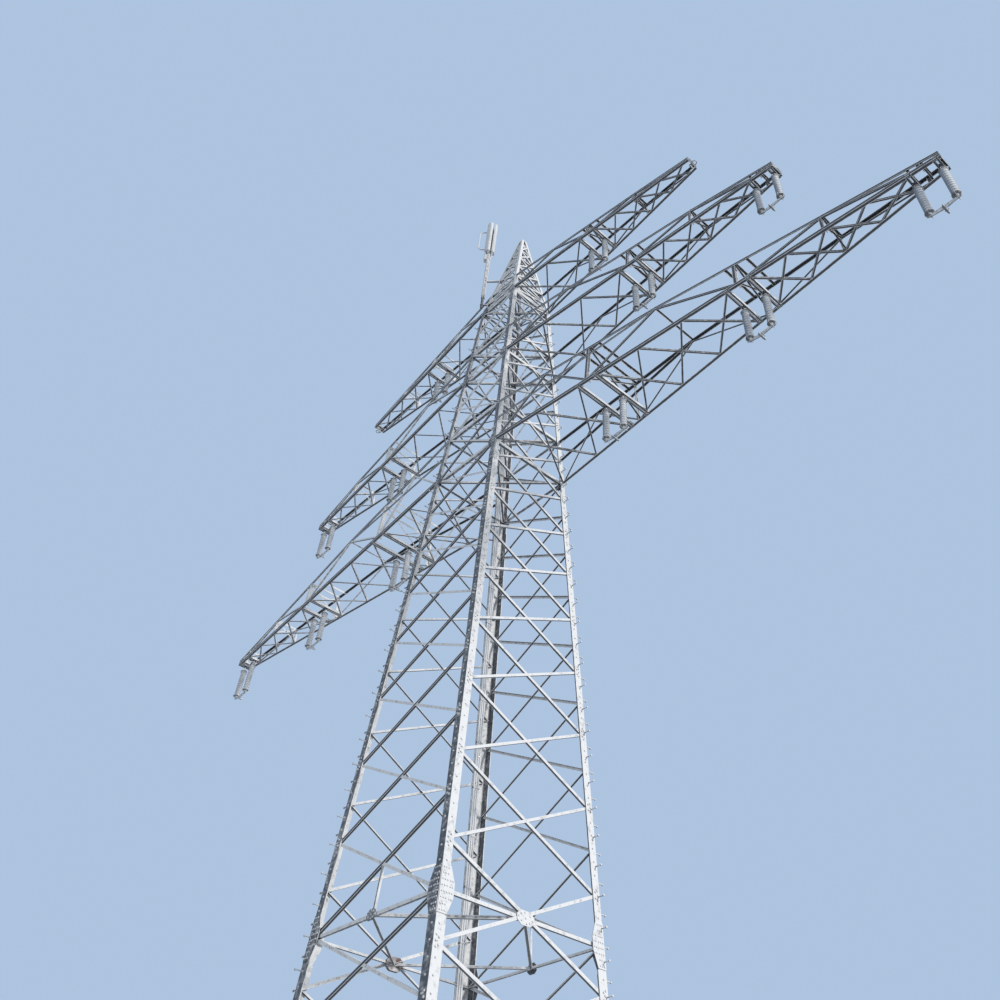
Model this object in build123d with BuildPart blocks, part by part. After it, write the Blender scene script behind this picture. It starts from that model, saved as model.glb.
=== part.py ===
from build123d import *
import os
from math import hypot, sqrt

# Lattice pylon with three pairs of crossarms, twelve hanging insulator sets and a small aerial mast.
# Millimetres, +Z up. The crossarms lie along X, the line it carries runs along Y.
# The origin is at the middle of the four feet, on the plane of their undersides.
# front is -Y, back is +Y, left is -X and right is +X.

# Tower body: a tapered square shaft, then a steeper peak
BASE_HALF = 2900.0          # half the distance between leg corners at the ground
TAPER = 0.059               # how far each face leans in for each unit of height
PEAK_BASE_Z = 32300.0       # where the shaft ends and the peak begins
PEAK_TOP_Z = 37700.0
PEAK_TOP_HALF = 130.0
RING_Z = 8700.0             # height of the stiffening ring

# Legs: angle sections that get narrower at two splices
LEG_THICKNESS = 24.0
LEG_WIDTH_LOW = 260.0
LEG_WIDTH_MID = 220.0
LEG_WIDTH_HIGH = 180.0
PEAK_LEG_WIDTH = 120.0

# Bracing of the faces
BRACE_WIDTH = 90.0
BRACE_THICKNESS = 30.0
RING_BAR_WIDTH = 90.0
DIAMOND_DEPTH = 60.0
BRACE_CORNER_GAP = 95.0     # from the leg's corner to the end of a brace
PANELS_BELOW_RING = 4
PANELS_ABOVE_RING = 8
PANELS_PER_ARM_STEP = (1, 2, 1, 2)
PEAK_PANELS_HIGH = 4
PEAK_BRACE_WIDTH = 60.0
PEAK_PLATE = 16.0

# Feet
FOOT_SIZE = 560.0
FOOT_THICKNESS = 40.0
ANCHOR_SPACING = 400.0
ANCHOR_HOLE_R = 21.0

# Crossarms. Heights are taken from the underside, lengths from the tower's axis.
# The upper chord bends at the knee, and panels counts the crossed bays of each field.
TIP_TO_SET = 500.0          # from the end of an arm to the middle of its outer set
ARM_BOTTOM = {
    "z": 22800.0, "depth": 2000.0, "reach": 16800.0, "knee_x": 8000.0, "knee_depth": 1500.0,
    "strut": 1070.0, "panels": (2, 3, 4),
}
ARM_MIDDLE = {
    "z": 27900.0, "depth": 1600.0, "reach": 12600.0, "knee_x": 9500.0, "knee_depth": 750.0,
    "strut": None, "panels": (3, 4),
}
ARM_TOP = {
    "z": PEAK_BASE_Z, "depth": 1300.0, "reach": 9600.0, "knee_x": 6900.0, "knee_depth": 620.0,
    "strut": None, "panels": (2, 4),
}
TIP_HALF = 270.0
TIP_DEPTH = 250.0
CHORD_WIDTH = 120.0
ARM_PLATE = 14.0
ARM_BRACE_WIDTH = 65.0
HANGER_BEAM_WIDTH = 120.0

# Where the insulator sets hang, along each arm
SETS_BOTTOM = {"inner": 5400.0, "middle": 10850.0, "outer": ARM_BOTTOM["reach"] - TIP_TO_SET}
SETS_MIDDLE = {"inner": 6900.0, "outer": ARM_MIDDLE["reach"] - TIP_TO_SET}
SETS_TOP = {"inner": 4800.0}
STRING_SPACING = 720.0      # between the two strings of a set

# Insulator set
PIN_R = 12.0
PIN_CLEARANCE = 0.05
PIN_SIDES = 12
LUG_THICKNESS = 20.0
LUG_R = 32.0
LUG_DROP = 90.0             # from the arm's underside to the pin
CHEEK_THICKNESS = 12.0
CHEEK_CLEARANCE = 5.0
CHEEK_WIDTH = 46.0
CAP_R = 50.0
CAP_LENGTH = 110.0
ROD_R = 92.0
ROD_LENGTH = 1150.0
YOKE_THICKNESS = 20.0
YOKE_HEIGHT = 170.0
YOKE_EDGE = 70.0
CLAMP_LENGTH = 320.0
CLAMP_R = 34.0
LINE_R = 11.0
EARTH_DROP = 130.0
EARTH_LENGTH = 180.0
EARTH_WIRE_R = 8.0
ROD_SIDES = 10
CAP_SIDES = 6
MAST_SIDES = 10
CHEEK_TOP = 28.0            # how far the cheeks stand above the pin

# Aerial mast at the front left corner of the peak
MAST_R = 57.0
MAST_FOOT_Z = 32700.0
MAST_TOP_Z = 38950.0
AERIAL_HEIGHT = 2300.0
AERIAL_WIDTH = 270.0
AERIAL_DEPTH = 130.0
AERIAL_OFFSET = 110.0
AERIAL_RISE = 150.0         # how far the panels stand above the mast
AERIAL_TURNS = (-75, 45, 165)
MAST_XY = 1050.0
MAST_BRACKETS = (32900.0, 34600.0)
BRACKET_WIDTH = 70.0
BRACKET_HEIGHT = 60.0
BRACKET_HOLD = 30.0         # how far a bracket wraps the corner it sits on

# Feeder cables up the back left leg
TRAY_WIDTH = 230.0
TRAY_DEPTH = 20.0
TRAY_INSET = 360.0          # from the leg's corner to the middle of the tray
TRAY_RAIL = 30.0
TRAY_FOOT_Z = 2500.0
TRAY_TOP_Z = 32000.0
RUNG_SPACING = 2600.0
CABLE_R = 25.0
CABLES = 3

SLANT = sqrt(1 + TAPER**2)
SET_FORK = LUG_R + CHEEK_CLEARANCE


def half_width(z):
    """Half the shaft's width over the leg corners at a height."""
    return BASE_HALF - TAPER * z


PEAK_BASE_HALF = half_width(PEAK_BASE_Z)
PEAK_TAPER = (PEAK_BASE_HALF - PEAK_TOP_HALF) / (PEAK_TOP_Z - PEAK_BASE_Z)
PEAK_SLANT = sqrt(1 + PEAK_TAPER**2)


def corner_half(z):
    """Half-width over the leg corners at a height, in the shaft or in the peak."""
    if z <= PEAK_BASE_Z:
        return half_width(z)
    return PEAK_BASE_HALF - PEAK_TAPER * (z - PEAK_BASE_Z)


def face_plane(side, inset=0.0):
    """Plane of one face of the shaft, x level along the face and normal outward."""
    out = {"right": (1, 0), "back": (0, 1), "left": (-1, 0), "front": (0, -1)}[side]
    plane = Plane(
        origin=(out[0] * BASE_HALF, out[1] * BASE_HALF, 0),
        x_dir=(-out[1], out[0], 0),
        z_dir=(out[0], out[1], TAPER),
    )
    return plane.offset(-inset)


def peak_plane(side):
    """Plane of one face of the peak, starting at the top of the shaft."""
    out = {"right": (1, 0), "back": (0, 1), "left": (-1, 0), "front": (0, -1)}[side]
    return Plane(
        origin=(out[0] * PEAK_BASE_HALF, out[1] * PEAK_BASE_HALF, PEAK_BASE_Z),
        x_dir=(-out[1], out[0], 0),
        z_dir=(out[0], out[1], PEAK_TAPER),
    )


def bar(p, q, width):
    """Flat bar between two points of a sketch, centred on the line between them."""
    (x0, y0), (x1, y1) = p, q
    length = hypot(x1 - x0, y1 - y0)
    nx, ny = -(y1 - y0) / length * width / 2, (x1 - x0) / length * width / 2
    Polygon(
        (x0 - nx, y0 - ny), (x1 - nx, y1 - ny), (x1 + nx, y1 + ny), (x0 + nx, y0 + ny),
        align=None,
    )


def strip(p, q, width):
    """Flat bar with one edge on the line from p to q, lying to the left of it."""
    (x0, y0), (x1, y1) = p, q
    length = hypot(x1 - x0, y1 - y0)
    nx, ny = -(y1 - y0) / length * width, (x1 - x0) / length * width
    Polygon((x0, y0), (x1, y1), (x1 + nx, y1 + ny), (x0 + nx, y0 + ny), align=None)


def spaced_levels(z_low, z_high, panels):
    """Panel heights that shrink in step with the width of the shaft."""
    w_low, w_high = half_width(z_low), half_width(z_high)
    return [(BASE_HALF - w_low * (w_high / w_low) ** (k / panels)) / TAPER for k in range(panels + 1)]


# Heights where the braces of the front and back faces meet the legs
ARM_STEPS = [
    ARM_BOTTOM["z"], ARM_BOTTOM["z"] + ARM_BOTTOM["depth"],
    ARM_MIDDLE["z"], ARM_MIDDLE["z"] + ARM_MIDDLE["depth"], PEAK_BASE_Z,
]
LEVELS_LOW = spaced_levels(2 * FOOT_THICKNESS + BRACE_WIDTH, RING_Z, PANELS_BELOW_RING)
LEVELS_MID = spaced_levels(RING_Z, ARM_BOTTOM["z"], PANELS_ABOVE_RING)
LEVELS_HIGH = []
for step_low, step_high, panels in zip(ARM_STEPS, ARM_STEPS[1:], PANELS_PER_ARM_STEP):
    LEVELS_HIGH += spaced_levels(step_low, step_high, panels)[:-1]
LEVELS_ACROSS = LEVELS_LOW[:-1] + LEVELS_MID[:-1] + LEVELS_HIGH + [PEAK_BASE_Z - BRACE_WIDTH]

# The other two faces are braced half a panel higher
LEVELS_ALONG = [LEVELS_ACROSS[0]]
for low, high in zip(LEVELS_ACROSS[1:], LEVELS_ACROSS[2:]):
    LEVELS_ALONG.append((low + high) / 2)
LEVELS_ALONG.append(LEVELS_ACROSS[-1])

LEVEL_BARS = [RING_Z, *ARM_STEPS[:-1], PEAK_BASE_Z - RING_BAR_WIDTH / 2]


def face_bracing(levels):
    """Crossed braces and level bars of one face, drawn in the open sketch."""
    for low, high in zip(levels, levels[1:]):
        u_low = half_width(low) - BRACE_CORNER_GAP
        u_high = half_width(high) - BRACE_CORNER_GAP
        bar((-u_low, low * SLANT), (u_high, high * SLANT), BRACE_WIDTH)
        bar((u_low, low * SLANT), (-u_high, high * SLANT), BRACE_WIDTH)
    for z in LEVEL_BARS:
        u = half_width(z) - BRACE_CORNER_GAP
        bar((-u, z * SLANT), (u, z * SLANT), RING_BAR_WIDTH)


def save(part, name):
    part.label = name
    export_step(part, f"parts/{name}.step")


os.makedirs("parts", exist_ok=True)

# Legs, each an angle made of one flange in each of two faces
LEG_FACES = {
    "front_right": (("front", 1), ("right", -1)),
    "back_right": (("right", 1), ("back", -1)),
    "back_left": (("back", 1), ("left", -1)),
    "front_left": (("left", 1), ("front", -1)),
}
LEG_STEPS = [
    (0, LEG_WIDTH_LOW), (RING_Z - 500, LEG_WIDTH_LOW),
    (RING_Z - 500, LEG_WIDTH_MID), (ARM_BOTTOM["z"] - 500, LEG_WIDTH_MID),
    (ARM_BOTTOM["z"] - 500, LEG_WIDTH_HIGH), (PEAK_BASE_Z + FOOT_THICKNESS, LEG_WIDTH_HIGH),
]
for corner, flanges in LEG_FACES.items():
    with BuildPart() as leg:
        for side, sign in flanges:
            outer = [(sign * half_width(z), z * SLANT) for z in (0, PEAK_BASE_Z + FOOT_THICKNESS)]
            inner = [(sign * (half_width(z) - width), z * SLANT) for z, width in LEG_STEPS]
            with BuildSketch(face_plane(side)):
                with BuildLine():
                    Polyline(*outer, *reversed(inner), close=True)
                make_face()
            extrude(amount=-LEG_THICKNESS)
        split(bisect_by=Plane.XY.offset(FOOT_THICKNESS), keep=Keep.TOP)
        split(bisect_by=Plane.XY.offset(PEAK_BASE_Z), keep=Keep.BOTTOM)
    save(leg.part, f"leg_{corner}")

# Bracing of the four faces, on the inside of the leg flanges
for side in ("front", "back", "left", "right"):
    levels = LEVELS_ACROSS if side in ("front", "back") else LEVELS_ALONG
    with BuildPart() as bracing:
        with BuildSketch(face_plane(side, LEG_THICKNESS)):
            face_bracing(levels)
        extrude(amount=-BRACE_THICKNESS)
    save(bracing.part, f"bracing_{side}")

# Ring stiffener: a diamond between the middles of the four ring bars
with BuildPart() as ring:
    ring_half = half_width(RING_Z)
    with BuildSketch(Plane.XY.offset(RING_Z - DIAMOND_DEPTH / 2)):
        middles = [(ring_half, 0), (0, ring_half), (-ring_half, 0), (0, -ring_half)]
        for p, q in zip(middles, middles[1:] + middles[:1]):
            bar(p, q, RING_BAR_WIDTH)
    extrude(amount=DIAMOND_DEPTH)
    for side in ("front", "back", "left", "right"):
        split(bisect_by=face_plane(side, LEG_THICKNESS + BRACE_THICKNESS), keep=Keep.BOTTOM)
save(ring.part, "ring_diamond")

# Feet: base plates under the legs, each with four anchor holes
with BuildPart() as feet:
    foot_centre = BASE_HALF - LEG_WIDTH_LOW / 2
    with BuildSketch():
        with GridLocations(2 * foot_centre, 2 * foot_centre, 2, 2):
            Rectangle(FOOT_SIZE, FOOT_SIZE)
            with GridLocations(ANCHOR_SPACING, ANCHOR_SPACING, 2, 2):
                Circle(ANCHOR_HOLE_R, mode=Mode.SUBTRACT)
    extrude(amount=FOOT_THICKNESS)
save(feet.part, "base_plates")

# Peak: four braced faces that meet at the corners, under a small cap
peak_steps = [PEAK_BASE_Z, PEAK_BASE_Z + ARM_TOP["depth"] / 2, PEAK_BASE_Z + ARM_TOP["depth"]]
peak_rest = PEAK_TOP_Z - 500 - peak_steps[-1]
for k in range(1, PEAK_PANELS_HIGH + 1):
    share = k / PEAK_PANELS_HIGH
    peak_steps.append(PEAK_BASE_Z + ARM_TOP["depth"] + peak_rest * share * (1.25 - 0.25 * share))


def peak_point(z, sign, inset):
    return (sign * (corner_half(z) - inset), (z - PEAK_BASE_Z) * PEAK_SLANT)


with BuildPart() as peak:
    for side in ("front", "back", "left", "right"):
        with BuildSketch(peak_plane(side)):
            strip(peak_point(PEAK_BASE_Z, 1, 0), peak_point(PEAK_TOP_Z, 1, 0), PEAK_LEG_WIDTH)
            strip(peak_point(PEAK_TOP_Z, -1, 0), peak_point(PEAK_BASE_Z, -1, 0), PEAK_LEG_WIDTH)
            for low, high in zip(peak_steps, peak_steps[1:]):
                gap = PEAK_LEG_WIDTH / 2
                bar(peak_point(low, -1, gap), peak_point(high, 1, gap), PEAK_BRACE_WIDTH)
                bar(peak_point(low, 1, gap), peak_point(high, -1, gap), PEAK_BRACE_WIDTH)
            low_bar = PEAK_BASE_Z + PEAK_BRACE_WIDTH / 2
            bar(peak_point(low_bar, -1, 30), peak_point(low_bar, 1, 30), PEAK_BRACE_WIDTH)
        extrude(amount=-PEAK_PLATE)
    with BuildSketch(Plane.XY.offset(PEAK_TOP_Z - PEAK_PLATE)):
        Rectangle(2 * PEAK_TOP_HALF, 2 * PEAK_TOP_HALF)
    extrude(amount=PEAK_PLATE)
    split(bisect_by=Plane.XY.offset(PEAK_BASE_Z), keep=Keep.TOP)
save(peak.part, "peak")


def arm_bays(arm, hangers):
    """Ends of the crossed bays in the underside, between the root, the hanger beams and the tip."""
    stops = [corner_half(arm["z"])]
    for x in hangers:
        stops += [x - STRING_SPACING / 2, x + STRING_SPACING / 2]
    stops.append(arm["reach"] - TIP_TO_SET / 2)
    bays = []
    for (start, end), panels in zip(zip(stops[0::2], stops[1::2]), arm["panels"]):
        step = (end - start) / panels
        bays += [(start + step * k, start + step * (k + 1)) for k in range(panels)]
    return bays


def make_arm(arm, hangers):
    """Right-hand arm, run on into the tower: an underside, two sides and the struts across its top."""
    z_low, z_high = arm["z"], arm["z"] + arm["depth"]
    root_low, root_high, reach = corner_half(z_low), corner_half(z_high), arm["reach"]
    knee_x, knee_depth = arm["knee_x"], arm["knee_depth"]

    def half_at(x):
        return root_low - (root_low - TIP_HALF) * (x - root_low) / (reach - root_low)

    def lower(x):
        return Vector(x, -half_at(x), z_low)

    root = Vector(root_high, -root_high, z_high)
    along = lower(reach) - lower(root_low)
    side = Plane(origin=lower(root_low), x_dir=along, z_dir=along.cross(root - lower(root_low)))
    normal = side.z_dir

    def upper(x):
        if x < knee_x:
            share = (x - root_high) / (knee_x - root_high)
            depth = arm["depth"] + (knee_depth - arm["depth"]) * share
        else:
            share = (x - knee_x) / (reach - knee_x)
            depth = knee_depth + (TIP_DEPTH - knee_depth) * share
        offset = lower(x) - side.origin
        rise = (normal.X * offset.X + normal.Y * offset.Y + normal.Z * depth) / normal.Y
        return Vector(x, lower(x).Y - rise, z_low + depth)

    def flat(point):
        local = side.to_local_coords(point)
        return (local.X, local.Y)

    gauge = CHORD_WIDTH / 2
    inner = root_high - 2 * CHORD_WIDTH
    with BuildPart() as arm_part:
        # Front and back sides: chords, posts at the sets and a zigzag through the field middles
        with BuildSketch(side):
            strip(flat(lower(inner)), flat(lower(reach)), CHORD_WIDTH)
            strip(flat(upper(knee_x)), flat(upper(inner)), CHORD_WIDTH)
            strip(flat(upper(reach)), flat(upper(knee_x)), CHORD_WIDTH)
            stops = [inner + CHORD_WIDTH, *hangers]
            if reach - stops[-1] > 2 * TIP_TO_SET:
                stops.append(reach - TIP_TO_SET / 2)
            lift = Vector(0, 0, gauge)
            for x0, x1 in zip(stops, stops[1:]):
                crown = knee_x if x0 < knee_x < x1 else (x0 + x1) / 2
                bar(flat(lower(x0) + lift), flat(upper(crown) - lift), ARM_BRACE_WIDTH)
                bar(flat(upper(crown) - lift), flat(lower(x1) + lift), ARM_BRACE_WIDTH)
            for x in hangers:
                bar(flat(lower(x) + lift), flat(upper(x) - lift), ARM_BRACE_WIDTH)
            if arm["strut"]:
                start = lower(inner) + Vector(0, 0, arm["strut"])
                bar(flat(start), flat(upper(knee_x) - lift), ARM_BRACE_WIDTH)
            end = reach - gauge
            bar(flat(lower(end)), flat(upper(end)), CHORD_WIDTH)
        extrude(amount=-ARM_PLATE)
        mirror(about=Plane.XZ)
        # Underside: chord flanges, crossed bays, hanger beams and the end plate
        with BuildSketch(Plane.XY.offset(z_low)):
            for sign in (-1, 1):
                p, q = (inner, -sign * half_at(inner)), (reach, -sign * TIP_HALF)
                if sign < 0:
                    p, q = q, p
                strip(p, q, CHORD_WIDTH)
            for x0, x1 in arm_bays(arm, hangers):
                y0, y1 = half_at(x0) - gauge, half_at(x1) - gauge
                bar((x0, -y0), (x1, y1), ARM_BRACE_WIDTH)
                bar((x0, y0), (x1, -y1), ARM_BRACE_WIDTH)
            for x in hangers:
                for beam in (x - STRING_SPACING / 2, x + STRING_SPACING / 2):
                    y = half_at(beam) - gauge / 2
                    bar((beam, -y), (beam, y), HANGER_BEAM_WIDTH)
            bar((end, -TIP_HALF + ARM_PLATE / 2), (end, TIP_HALF - ARM_PLATE / 2), CHORD_WIDTH)
        extrude(amount=ARM_PLATE)
        # Struts between the upper chords
        for x in (*hangers, knee_x, end):
            top = upper(x)
            with BuildSketch(Plane.XY.offset(top.Z - gauge)):
                y = -top.Y - ARM_PLATE / 2
                bar((x, -y), (x, y), ARM_BRACE_WIDTH)
            extrude(amount=gauge / 2)
        # Lugs that the insulator sets hang from
        for x in hangers:
            for beam in (x - STRING_SPACING / 2, x + STRING_SPACING / 2):
                with BuildSketch(Plane.YZ.offset(beam - LUG_THICKNESS / 2)):
                    Polygon(
                        (-LUG_R, z_low), (-LUG_R, z_low - LUG_DROP), (-LUG_R / 2, z_low - LUG_DROP - LUG_R),
                        (LUG_R / 2, z_low - LUG_DROP - LUG_R), (LUG_R, z_low - LUG_DROP), (LUG_R, z_low),
                        align=None,
                    )
                    with Locations((0, z_low - LUG_DROP)):
                        RegularPolygon(PIN_R + PIN_CLEARANCE, PIN_SIDES, major_radius=False, mode=Mode.SUBTRACT)
                extrude(amount=LUG_THICKNESS)
    return arm_part


# Crossarms, cut square to the faces they stand on, and their mirror images
ARMS = {"bottom": (ARM_BOTTOM, SETS_BOTTOM), "middle": (ARM_MIDDLE, SETS_MIDDLE), "top": (ARM_TOP, SETS_TOP)}
for level, (arm, sets) in ARMS.items():
    raw = make_arm(arm, list(sets.values()))
    with BuildPart() as right_arm:
        add(raw.part)
        if level == "top":
            split(bisect_by=peak_plane("right"), keep=Keep.TOP)
        else:
            split(bisect_by=face_plane("right"), keep=Keep.TOP)
    save(right_arm.part, f"crossarm_{level}_right")
    with BuildPart() as left_arm:
        add(mirror(right_arm.part, about=Plane.YZ, mode=Mode.PRIVATE))
    save(left_arm.part, f"crossarm_{level}_left")

# One insulator set, drawn around its pin: two strings side by side over a yoke and a line clamp
STRING_TOP = -SET_FORK
ROD_TOP = STRING_TOP - CAP_LENGTH
ROD_BOTTOM = ROD_TOP - ROD_LENGTH
YOKE_TOP = ROD_BOTTOM - CAP_LENGTH + 40
CLAMP_Z = YOKE_TOP - YOKE_HEIGHT
STRINGS = [(-STRING_SPACING / 2, 0), (STRING_SPACING / 2, 0)]
with BuildPart() as strings:
    with BuildSketch(Plane.XY.offset(ROD_BOTTOM)):
        with Locations(*STRINGS):
            RegularPolygon(ROD_R, ROD_SIDES)
    extrude(amount=ROD_LENGTH)
with BuildPart() as fittings:
    with BuildSketch(Plane.XY.offset(ROD_TOP), Plane.XY.offset(ROD_BOTTOM - CAP_LENGTH)):
        with Locations(*STRINGS):
            RegularPolygon(CAP_R, CAP_SIDES)
    extrude(amount=CAP_LENGTH)
    for x, _ in STRINGS:
        fork_half = LUG_THICKNESS / 2 + CHEEK_CLEARANCE
        for start in (x - fork_half - CHEEK_THICKNESS, x + fork_half):
            with BuildSketch(Plane.YZ.offset(start)):
                with Locations((0, (ROD_TOP + CHEEK_TOP) / 2)):
                    Rectangle(CHEEK_WIDTH, CHEEK_TOP - ROD_TOP)
            extrude(amount=CHEEK_THICKNESS)
        pin_half = fork_half + CHEEK_THICKNESS
        with BuildSketch(Plane.YZ.offset(x - pin_half)):
            RegularPolygon(PIN_R, PIN_SIDES)
        extrude(amount=2 * pin_half)
    yoke_half = STRING_SPACING / 2 + CAP_R
    with BuildSketch(Plane.XZ.offset(-YOKE_THICKNESS / 2)):
        with BuildLine():
            Polyline(
                (-yoke_half, YOKE_TOP), (yoke_half, YOKE_TOP), (yoke_half, YOKE_TOP - YOKE_EDGE),
                (CLAMP_R, CLAMP_Z), (-CLAMP_R, CLAMP_Z), (-yoke_half, YOKE_TOP - YOKE_EDGE),
                close=True,
            )
        make_face()
    extrude(amount=YOKE_THICKNESS)
    with BuildSketch(Plane.XZ.offset(-CLAMP_LENGTH / 2)):
        with Locations((0, CLAMP_Z)):
            RegularPolygon(CLAMP_R, CAP_SIDES)
    extrude(amount=CLAMP_LENGTH)
    with BuildSketch(Plane.XZ.offset(-CLAMP_LENGTH / 2)):
        with Locations((0, CLAMP_Z)):
            Circle(LINE_R)
    extrude(amount=CLAMP_LENGTH, mode=Mode.SUBTRACT)

# Every set in its place under the arms
for level, (arm, sets) in ARMS.items():
    for place, x in sets.items():
        for side, sign in (("right", 1), ("left", -1)):
            for kind, source in (("insulators", strings), ("fittings", fittings)):
                with BuildPart() as placed:
                    with Locations((sign * x, 0, arm["z"] - LUG_DROP)):
                        add(source.part)
                save(placed.part, f"{kind}_{level}_{side}_{place}")

# Earth wire clamps under the tips of the top arms
with BuildPart() as earth_clamps:
    tip_x = ARM_TOP["reach"] - CHORD_WIDTH / 2
    for x in (-tip_x, tip_x):
        with BuildSketch(Plane.YZ.offset(x - YOKE_THICKNESS / 2)):
            with Locations((0, ARM_TOP["z"] - EARTH_DROP / 2)):
                Rectangle(2 * CLAMP_R, EARTH_DROP)
        extrude(amount=YOKE_THICKNESS)
        with BuildSketch(Plane.XZ.offset(-EARTH_LENGTH / 2)):
            with Locations((x, ARM_TOP["z"] - EARTH_DROP)):
                RegularPolygon(CLAMP_R, CAP_SIDES)
        extrude(amount=EARTH_LENGTH)
        with BuildSketch(Plane.XZ.offset(-EARTH_LENGTH / 2)):
            with Locations((x, ARM_TOP["z"] - EARTH_DROP)):
                Circle(EARTH_WIRE_R)
        extrude(amount=EARTH_LENGTH, mode=Mode.SUBTRACT)
save(earth_clamps.part, "earth_wire_clamps")

# Aerial mast on two brackets, notched to sit against the peak's corner
with BuildPart() as mast:
    with BuildSketch(Plane.XY.offset(MAST_FOOT_Z)):
        with Locations((-MAST_XY, -MAST_XY)):
            RegularPolygon(MAST_R, MAST_SIDES)
    extrude(amount=MAST_TOP_Z - MAST_FOOT_Z)
    for z in MAST_BRACKETS:
        inner = corner_half(z)
        with BuildSketch(Plane.XY.offset(z)):
            bar((-MAST_XY, -MAST_XY), (-inner + BRACKET_HOLD, -inner + BRACKET_HOLD), BRACKET_WIDTH)
        extrude(amount=BRACKET_HEIGHT)
        with BuildSketch(Plane.XY.offset(z)):
            Rectangle(2 * inner, 2 * inner)
        extrude(amount=BRACKET_HEIGHT, mode=Mode.SUBTRACT)
save(mast.part, "aerial_mast")

# Aerials: three upright panels around the mast's top, each on a block that reaches the mast
with BuildPart() as aerials:
    for turn in AERIAL_TURNS:
        radial = Plane(origin=(-MAST_XY, -MAST_XY, MAST_TOP_Z + AERIAL_RISE - AERIAL_HEIGHT))
        radial = radial.rotated((0, 0, turn))
        with BuildSketch(radial):
            with Locations((AERIAL_OFFSET + AERIAL_DEPTH / 2, 0)):
                Rectangle(AERIAL_DEPTH, AERIAL_WIDTH)
        extrude(amount=AERIAL_HEIGHT)
        for share in (0.2, 0.75):
            with BuildSketch(radial.offset(AERIAL_HEIGHT * share)):
                with Locations((AERIAL_OFFSET / 2, 0)):
                    Rectangle(AERIAL_OFFSET, BRACKET_WIDTH)
            extrude(amount=BRACKET_HEIGHT)
    with BuildSketch(Plane.XY.offset(MAST_FOOT_Z)):
        with Locations((-MAST_XY, -MAST_XY)):
            RegularPolygon(MAST_R, MAST_SIDES)
    extrude(amount=MAST_TOP_Z - MAST_FOOT_Z, mode=Mode.SUBTRACT)
save(aerials.part, "aerial_panels")

# Cable tray inside the left face beside the back leg, and the cables that run up it
tray_plane = face_plane("left", LEG_THICKNESS + BRACE_THICKNESS)


def tray_point(z, across):
    return (-(half_width(z) - TRAY_INSET - across), z * SLANT)


with BuildPart() as tray:
    with BuildSketch(tray_plane):
        for edge in (-TRAY_WIDTH / 2 + TRAY_RAIL, TRAY_WIDTH / 2):
            bar(tray_point(TRAY_FOOT_Z, edge), tray_point(TRAY_TOP_Z, edge), TRAY_RAIL)
        rungs = int((TRAY_TOP_Z - TRAY_FOOT_Z) / RUNG_SPACING)
        for k in range(rungs + 1):
            z = TRAY_FOOT_Z + TRAY_RAIL + RUNG_SPACING * k
            if z < TRAY_TOP_Z:
                bar(tray_point(z, TRAY_RAIL - TRAY_WIDTH / 2), tray_point(z, TRAY_WIDTH / 2), TRAY_RAIL)
    extrude(amount=-TRAY_DEPTH)
save(tray.part, "cable_tray")

with BuildPart() as cables:
    pitch = (TRAY_WIDTH - 2 * TRAY_RAIL) / CABLES
    with BuildSketch(tray_plane.offset(-TRAY_DEPTH)):
        for k in range(CABLES):
            across = (k - (CABLES - 1) / 2) * pitch + TRAY_RAIL / 2
            bar(tray_point(TRAY_FOOT_Z, across), tray_point(TRAY_TOP_Z, across), 2 * CABLE_R)
    extrude(amount=-2 * CABLE_R)
save(cables.part, "cables")
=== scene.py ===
import math

import bmesh
import bpy
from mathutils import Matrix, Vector


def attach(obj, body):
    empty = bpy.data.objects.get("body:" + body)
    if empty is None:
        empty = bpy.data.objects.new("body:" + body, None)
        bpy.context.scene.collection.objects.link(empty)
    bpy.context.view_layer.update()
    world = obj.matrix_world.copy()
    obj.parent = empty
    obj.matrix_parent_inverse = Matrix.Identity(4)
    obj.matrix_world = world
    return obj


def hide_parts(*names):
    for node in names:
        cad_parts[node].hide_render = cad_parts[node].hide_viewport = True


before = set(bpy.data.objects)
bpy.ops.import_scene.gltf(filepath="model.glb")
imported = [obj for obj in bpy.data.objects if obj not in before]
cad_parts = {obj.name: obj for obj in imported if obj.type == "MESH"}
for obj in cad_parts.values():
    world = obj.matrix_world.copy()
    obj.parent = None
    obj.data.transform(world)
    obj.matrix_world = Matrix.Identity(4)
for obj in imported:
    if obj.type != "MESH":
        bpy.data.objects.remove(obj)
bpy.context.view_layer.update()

# Camera: hand-held at eye height beside the tower, looking steeply up
CAMERA_PLACE = (18.63, -14.35, 1.60)
CAMERA_TURN = (137.61, -1.905, 46.736)
CAMERA_LENS = 33.28
CAMERA_SHIFT = (-0.047, -0.103)

# Colours
RIME_AND_PAINTED_LIGHT = (0.74, 0.75, 0.77, 1.0)
ZINC = (0.045, 0.05, 0.06, 1.0)
ZINC_PALE = (0.115, 0.125, 0.145, 1.0)
RUST = (0.045, 0.018, 0.010, 1.0)
RUST_PALE = (0.12, 0.050, 0.025, 1.0)
FORGED = (0.07, 0.075, 0.085, 1.0)
FORGED_PALE = (0.16, 0.17, 0.19, 1.0)
GLAZE = (0.15, 0.185, 0.24, 1.0)
GLAZE_PALE = (0.27, 0.31, 0.38, 1.0)
SHELL = (0.50, 0.52, 0.54, 1.0)
SHELL_PALE = (0.62, 0.64, 0.66, 1.0)
RUBBER = (0.03, 0.03, 0.033, 1.0)
RUBBER_PALE = (0.09, 0.09, 0.095, 1.0)
SKY = (0.42, 0.55, 0.74, 1.0)
FLOOR = (0.72, 0.74, 0.76, 1.0)
FLOOR_PALE = (0.78, 0.80, 0.82, 1.0)
FLOOR_HALF = 60.0

# Light from all round
SKY_LIGHT = (0.80, 0.89, 1.0, 1.0)
SKY_LIGHT_STRENGTH = 0.48
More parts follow.
